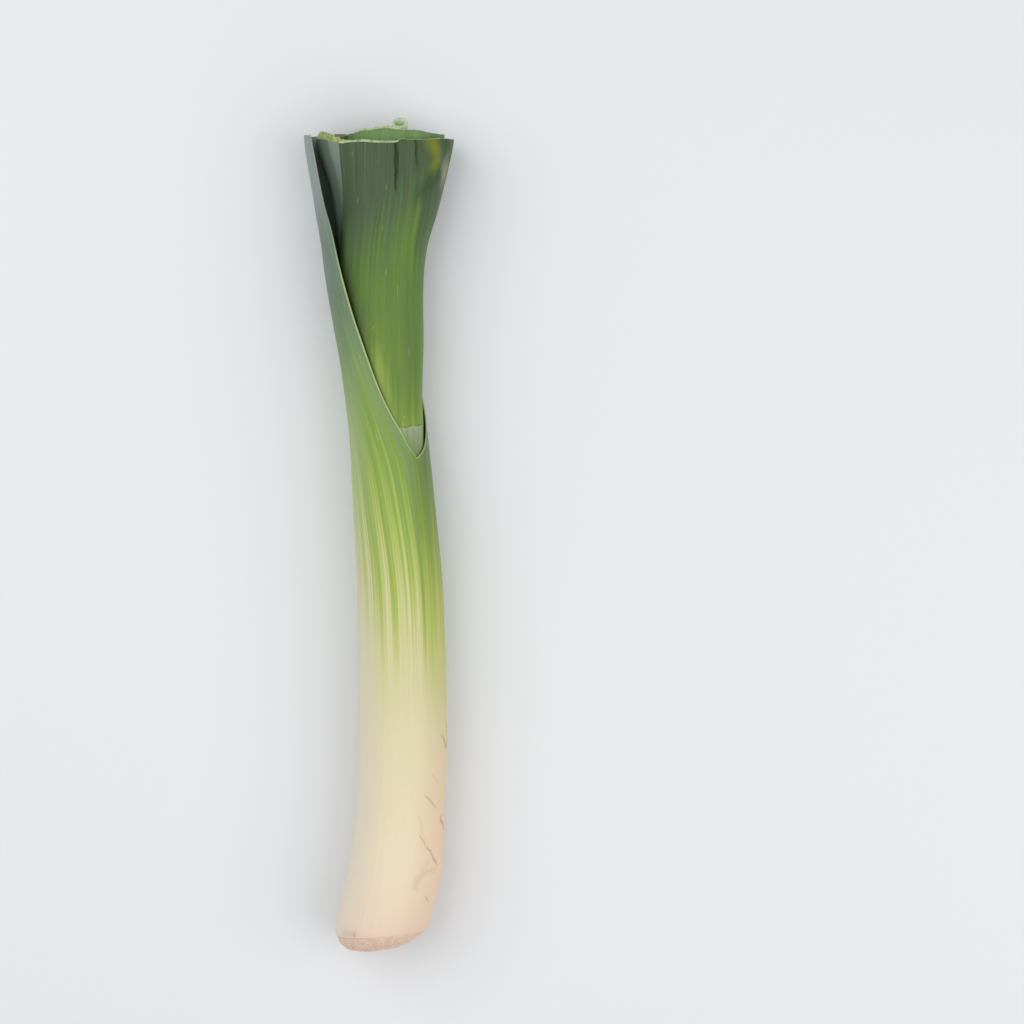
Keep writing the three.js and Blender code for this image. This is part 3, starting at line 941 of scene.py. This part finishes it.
def sheet_faces(rows, columns):
    """Quads of a closed thin sheet: its upper grid, its lower grid and the four sides between them."""
    upper = np.arange(rows * columns).reshape(rows, columns)
    lower = upper + upper.size
    grid = [upper[:-1, :-1], upper[:-1, 1:], upper[1:, 1:], upper[1:, :-1]]
    top = np.stack(grid, axis=-1).reshape(-1, 4)
    border = np.concatenate([upper[0, :-1], upper[:-1, -1], upper[-1, :0:-1], upper[:0:-1, 0]])
    after = np.roll(border, -1)
    sides = np.stack([border + upper.size, after + upper.size, after, border], axis=-1)
    return np.concatenate([top, top[:, ::-1] + upper.size, sides])


def collar_points():
    """The membrane lies just clear of the second leaf; its foot is tucked under the outer leaf's margin."""
    rows, columns = COLLAR_GRID
    leaf = LEAVES[OUTERMOST]
    across = np.linspace(-1, 1, columns)[None, :]
    up = np.linspace(0, 1, rows)[:, None]
    angle = leaf.keel - 180 + COLLAR_REACH * across + 0 * up
    foot = leaf.margin_length(-np.minimum(180, leaf.from_keel(angle))) - COLLAR_TUCK
    wavy = 0.22 * np.sin(7 * across + 1) + 0.1 * np.sin(19 * across)
    s = foot + up * np.maximum(0.3, COLLAR_TOP + wavy - 0.6 * across - foot)
    outer, _ = leaf_span(SECOND, angle, s)
    lift = 0.08 + 0.2 * up**3 * (1 + np.sin(14 * across))
    distance = outer + flutes(SECOND, vein_angle(LEAVES[SECOND], angle, s), s) + lift
    sheets = [place(angle, s, distance + COLLAR_THICKNESS), place(angle, s, distance)]
    return np.concatenate([sheet.reshape(-1, 3) for sheet in sheets]), np.concatenate([up + 0 * angle] * 2)


def collar_skin():
    """A dry, thin and slightly clear membrane: pale greenish grey, greener at its foot."""
    material, shader, wire = new_material("collar", Subsurface_Weight=0.3, Subsurface_Radius=LEAF_LIGHT)
    height = wire.attribute("height", "Fac")
    veins = wire.where().scaled(1.0, 0.06, 1.0).noise(1300.0, 3.0)
    base = height.ramp([(0.0, (126, 156, 72)), (0.5, (148, 172, 106)), (1.0, (170, 184, 144))])
    base = base.mix((186, 196, 162), veins.step(0.45, 0.7) * 0.4)
    finish(wire, shader, base, 0.45, veins, 0.00008)
    return material


points, heights = collar_points()
faces = sheet_faces(*COLLAR_GRID)
collar_values = {"height": heights.ravel().astype(np.float32)}
collar = make_mesh("collar", points, faces, np.zeros(len(faces)), [collar_skin()], collar_values)
print("collar of", len(faces) * 2, "triangles")

# %% [markdown]
# ## The stem disc
# All sheaths grow from a short flat stem, and the roots grew out of its underside. The roots were cut off
# flush, which leaves rings of low round stubs, each with a small pit where the root's core was.
# The disc is a turned shape, so it is a profile of (radius, length) pairs carried round the axis, and the
# stubs are a function of radius and angle that moves its underside.

# %% Turned shapes
def turned(name, profile, columns, shape, material, values):
    """A closed skin: each profile point makes a ring, the first and the last lie on the axis."""
    radius, s = np.array(profile).T[:, :, None]
    angle = np.arange(columns)[None, :] * 360 / columns
    rings = shape(angle, radius[1:-1], s[1:-1])
    poles = np.stack([shape(angle[:, :1], radius[[0]], s[[0]]), shape(angle[:, :1], radius[[-1]], s[[-1]])])
    count = len(profile) - 2
    number = np.arange(count * columns).reshape(count, columns)
    low, high = count * columns, count * columns + 1
    first, last = number[0], number[-1]
    fans = [np.stack([np.full(columns, low), first, np.roll(first, -1)], axis=-1),
            np.stack([np.full(columns, high), np.roll(last, -1), last], axis=-1)]
    quads = band_faces(number[:-1], number[1:])
    points = np.concatenate([rings.reshape(-1, 3), poles.reshape(-1, 3)])
    faces = quads.tolist() + fans[0].tolist() + fans[1].tolist()
    return make_mesh(name, points, faces, np.zeros(len(faces)), [material], values)


def along(points, count):
    """Points spread evenly along a path of straight steps."""
    path = np.array(points, float)
    walked = np.concatenate([[0], np.cumsum(np.hypot(*np.diff(path, axis=0).T))])
    at = np.linspace(0, walked[-1], count)
    return np.stack([np.interp(at, walked, path[:, 0]), np.interp(at, walked, path[:, 1])], axis=-1)


# %% Rings of cut roots
BOWL = curve([(0, 0.5), (5.5, 0.2), (9.6, 1.3), (12.2, 2.9), (13.6, 4.3)])
BOWL_RADIUS = 13.8
DISC_SHIFT = 1.3
ROOT_RINGS = [(8.2, 13), (10.4, 17), (12.4, 21)]
STUB_RADIUS = 1.25
STUB_HEIGHT = 0.22
PIT_RADIUS = 0.32
PIT_DEPTH = 0.3
UNDERSIDE_END = DOME_EDGE - 0.4
DISC_COLUMNS = 300


def root_marks(angle, radius):
    """Two masks: the round stubs of the cut roots, in staggered rings, and the pit in the middle of each."""
    stub = pit = nothing(angle, radius)
    for ring, count in ROOT_RINGS:
        pitch = 360 / count
        turned_by = np.sin(radians(5 * angle + 31 * ring)) * 2.0
        around = radians((angle + turned_by + ring * 20) % pitch - pitch / 2) * ring
        away = np.hypot(around, radius - ring + 0.35 * np.sin(radians(4 * angle + 50 * ring)))
        stub = stub + blend(STUB_RADIUS, 0.55, away)
        pit = pit + bell(away, PIT_RADIUS)
    return stub, pit


def root_stubs(angle, radius):
    """Millimetres that the stubs stand out and their pits go in, with three shallow dents near the middle."""
    stub, pit = root_marks(angle, radius)
    dents = 0.25 * bell(radius - 3.4, 2.6) * np.cos(radians(3 * angle + 40))
    return dents + STUB_HEIGHT * stub - PIT_DEPTH * pit


def disc_shape(angle, radius, s):
    """The bowl is pushed out along the leek by its stubs; the rest is a plain dome."""
    out = np.where(s < UNDERSIDE_END, root_stubs(angle, radius) * blend(13.7, 12.9, radius), 0.0)
    x = radius * np.cos(radians(angle)) - DISC_SHIFT * np.maximum(0, 1 - s / DOME_EDGE)
    return set_down(x, radius * np.sin(radians(angle)), s - out)


bowl_radii = np.linspace(0, BOWL_RADIUS - 0.2, 96)
rim = along([(13.75, 4.5), (14.3, 5.2), (14.4, DOME_EDGE)], 8)
dome_radii = np.linspace(14.3, 0, 24)
disc_profile = np.concatenate([
    np.stack([bowl_radii, BOWL(bowl_radii)], axis=-1),
    rim,
    np.stack([dome_radii, dome_length(dome_radii)], axis=-1),
])


def disc_marks():
    """The root masks at every point of the turned disc: ring by ring, then its two ends."""
    radius = disc_profile[1:-1, :1]
    below = disc_profile[1:-1, 1:] < UNDERSIDE_END
    stub, pit = root_marks(np.arange(DISC_COLUMNS)[None, :] * 360 / DISC_COLUMNS, radius)
    marks = np.stack([stub * below, pit * below, 0 * stub], axis=-1).reshape(-1, 3)
    return np.concatenate([marks, np.zeros((2, 3))]).astype(np.float32)


def stem_disc_skin():
    """Pinkish tan flesh; the stubs are paler and their pits brown, like the grit between them."""
    material, shader, wire = new_material("stem_disc", Subsurface_Weight=0.1, Subsurface_Scale=0.003)
    spot = wire.where()
    cloud = spot.noise(180.0, 4.0, 0.6)
    grit = spot.noise(1100.0, 3.0, 0.6)
    stub, pit, _ = wire.attribute("roots").split()
    base = cloud.ramp([(0.3, (222, 184, 160)), (0.5, (234, 200, 176)), (0.7, (243, 215, 191))])
    base = base.mix((186, 144, 118), grit.step(0.56, 0.76) * 0.3)
    base = base.mix((246, 226, 202), stub * 0.5)
    base = base.mix((170, 124, 94), pit * 0.6)
    finish(wire, shader, base, 0.6, grit + cloud, 0.00025)
    return material


disc_values = {"roots": disc_marks()}
disc = turned("root_plate_skin", disc_profile, DISC_COLUMNS, disc_shape, stem_disc_skin(), disc_values)
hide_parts("root_plate")
print("stem disc with", sum(count for _, count in ROOT_RINGS), "root stubs")

# %% [markdown]
# ## The heart
# The youngest leaves are still rolled up. Cut across, they show as a small ring with a hole, and the cut is
# slanted, so the ring can be seen from above. The rolls are one turned skin: out at the rim, down into the
# gap, up over the inner roll and down its middle.

# %% The rolled heart
HEART_SLANT = 4.2
HEART_SLANT_LENGTH = 9.0
HEART_RIM = 0.45
INNER_ROLL_DEPTH = 1.5
HEART_HOLE_DEPTH = 8
HEART_HOLE_RADIUS = 1.9
HEART_COLUMNS = 144


def heart_shape(angle, radius, s):
    """A leaning rod whose end is cut on a slant: its upper side is shorter; its rolls overlap in a step."""
    roll = 1 - 0.05 * ((angle + 130) % 360) / 360 * blend(60, 120, s)
    x = radius * roll * np.cos(radians(angle))
    z = radius * roll * np.sin(radians(angle))
    near_end = blend(HEART_CUT - HEART_SLANT_LENGTH, HEART_CUT, s)
    cut = HEART_SLANT * (z + HEART_RADIUS) / (2 * HEART_RADIUS) * near_end
    return set_down(heart_lean(s) + x, z, s - cut)


def below_cut(path, count):
    """Points along a path whose lengths are counted down from the heart's cut."""
    return along([(radius, HEART_CUT - depth) for radius, depth in path], count)


heart_foot = dome_length(0) + GAP
outer_wall = HEART_RADIUS - 0.02
heart_profile = np.concatenate([
    along([(0, heart_foot), (outer_wall - 0.3, heart_foot), (outer_wall, heart_foot + 0.4)], 6),
    np.stack([np.full(120, outer_wall), np.linspace(heart_foot + 1, HEART_CUT - HEART_RIM, 120)], axis=-1),
    below_cut([(outer_wall - 0.12, 0.12), (outer_wall - 0.4, 0), (1.95, 0.05)], 7),
    below_cut([(1.8, 0.3), (1.72, 5)], 16),
    below_cut([(1.55, 4.6), (1.55, INNER_ROLL_DEPTH + 0.2)], 12),
    below_cut([(1.4, INNER_ROLL_DEPTH), (0.95, INNER_ROLL_DEPTH)], 4),
    below_cut([(0.8, INNER_ROLL_DEPTH + 0.3), (0.6, 7.5), (0, HEART_HOLE_DEPTH)], 14),
])


def heart_skin():
    """Pale translucent green, darker down in the hole, with fine lengthwise veins."""
    material, shader, wire = new_material("rolled_heart", Subsurface_Weight=0.25, Subsurface_Radius=LEAF_LIGHT)
    spot = wire.where()
    veins = spot.scaled(1.0, 0.02, 1.0).noise(900.0, 2.0)
    tints = [(0.0, (200, 216, 172)), (0.08, (186, 206, 150)), (0.3, (110, 140, 92)), (1.0, (60, 86, 50))]
    # Painted shade: the colour darkens with depth down the hole
    base = wire.attribute("depth", "Fac").ramp(tints)
    base = base.mix((150, 180, 104), veins.step(0.45, 0.7) * 0.5)
    finish(wire, shader, base, 0.4, veins, 0.0001)
    return material


depth = np.zeros(len(heart_profile) - 2)
inside = heart_profile[1:-1, 0] < HEART_HOLE_RADIUS
depth[inside] = np.clip((HEART_CUT - heart_profile[1:-1, 1][inside]) / HEART_HOLE_DEPTH, 0, 1)
depth_values = np.concatenate([np.repeat(depth, HEART_COLUMNS), [0.0, 1.0]]).astype(np.float32)
heart = turned("heart_skin", heart_profile, HEART_COLUMNS, heart_shape, heart_skin(), {"depth": depth_values})
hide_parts("heart")
print("heart with", len(heart_profile), "rings")

# %% [markdown]
# ## Camera, light and floor
# The picture looks straight down on the leek from far away. One pixel is 0.33 mm where the leek is widest,
# and the leek lies left of the picture's middle, as in the photograph.

# %% Camera
PICTURE_PIXELS = 1024
PIXEL = 0.00033
CAMERA_DISTANCE = 1.1
CENTRE_X = 0.044
CENTRE_Y = 0.00695

camera_data = bpy.data.cameras.new("camera")
camera_data.sensor_width = 36
camera_data.lens = 36 * CAMERA_DISTANCE / (PICTURE_PIXELS * PIXEL)
camera = add("camera", camera_data)
camera.location = (CENTRE_X, CENTRE_Y, AXIS_HEIGHT / 1000 + CAMERA_DISTANCE)
bpy.context.scene.camera = camera
print("lens", round(camera_data.lens, 1), "mm")


# %% Light and floor
FLOOR_HALF = 3.0
FLOOR_Z = -0.0002


def soft_light(name, location, size, power):
    """A square soft light that faces the leek."""
    data = bpy.data.lights.new(name, "AREA")
    data.shape = "SQUARE"
    data.size = size
    data.energy = power
    light = add(name, data)
    light.location = location
    light.rotation_euler = Vector(location).to_track_quat("Z", "Y").to_euler()


soft_light("key", (-0.55, 0.25, 0.9), 1.0, 4.6)
soft_light("fill", (0.7, -0.2, 0.8), 0.9, 4.0)
soft_light("top", (0.0, 0.0, 1.6), 1.2, 2.4)

world = bpy.data.worlds.new("studio")
world.use_nodes = True
world.node_tree.nodes["Background"].inputs["Color"].default_value = (0.95, 0.97, 1.0, 1.0)
world.node_tree.nodes["Background"].inputs["Strength"].default_value = 0.48
bpy.context.scene.world = world
bpy.context.scene.view_settings.view_transform = "Standard"

floor_material, *_ = new_material("floor", Base_Color=(0.8, 0.81, 0.82, 1.0), Roughness=0.6)
floor_mesh = bpy.data.meshes.new("floor")
corners = [(x * FLOOR_HALF, y * FLOOR_HALF, FLOOR_Z) for x, y in ((-1, -1), (1, -1), (1, 1), (-1, 1))]
floor_mesh.from_pydata(corners, [], [(0, 1, 2, 3)])
floor_mesh.materials.append(floor_material)
floor = add("floor", floor_mesh)
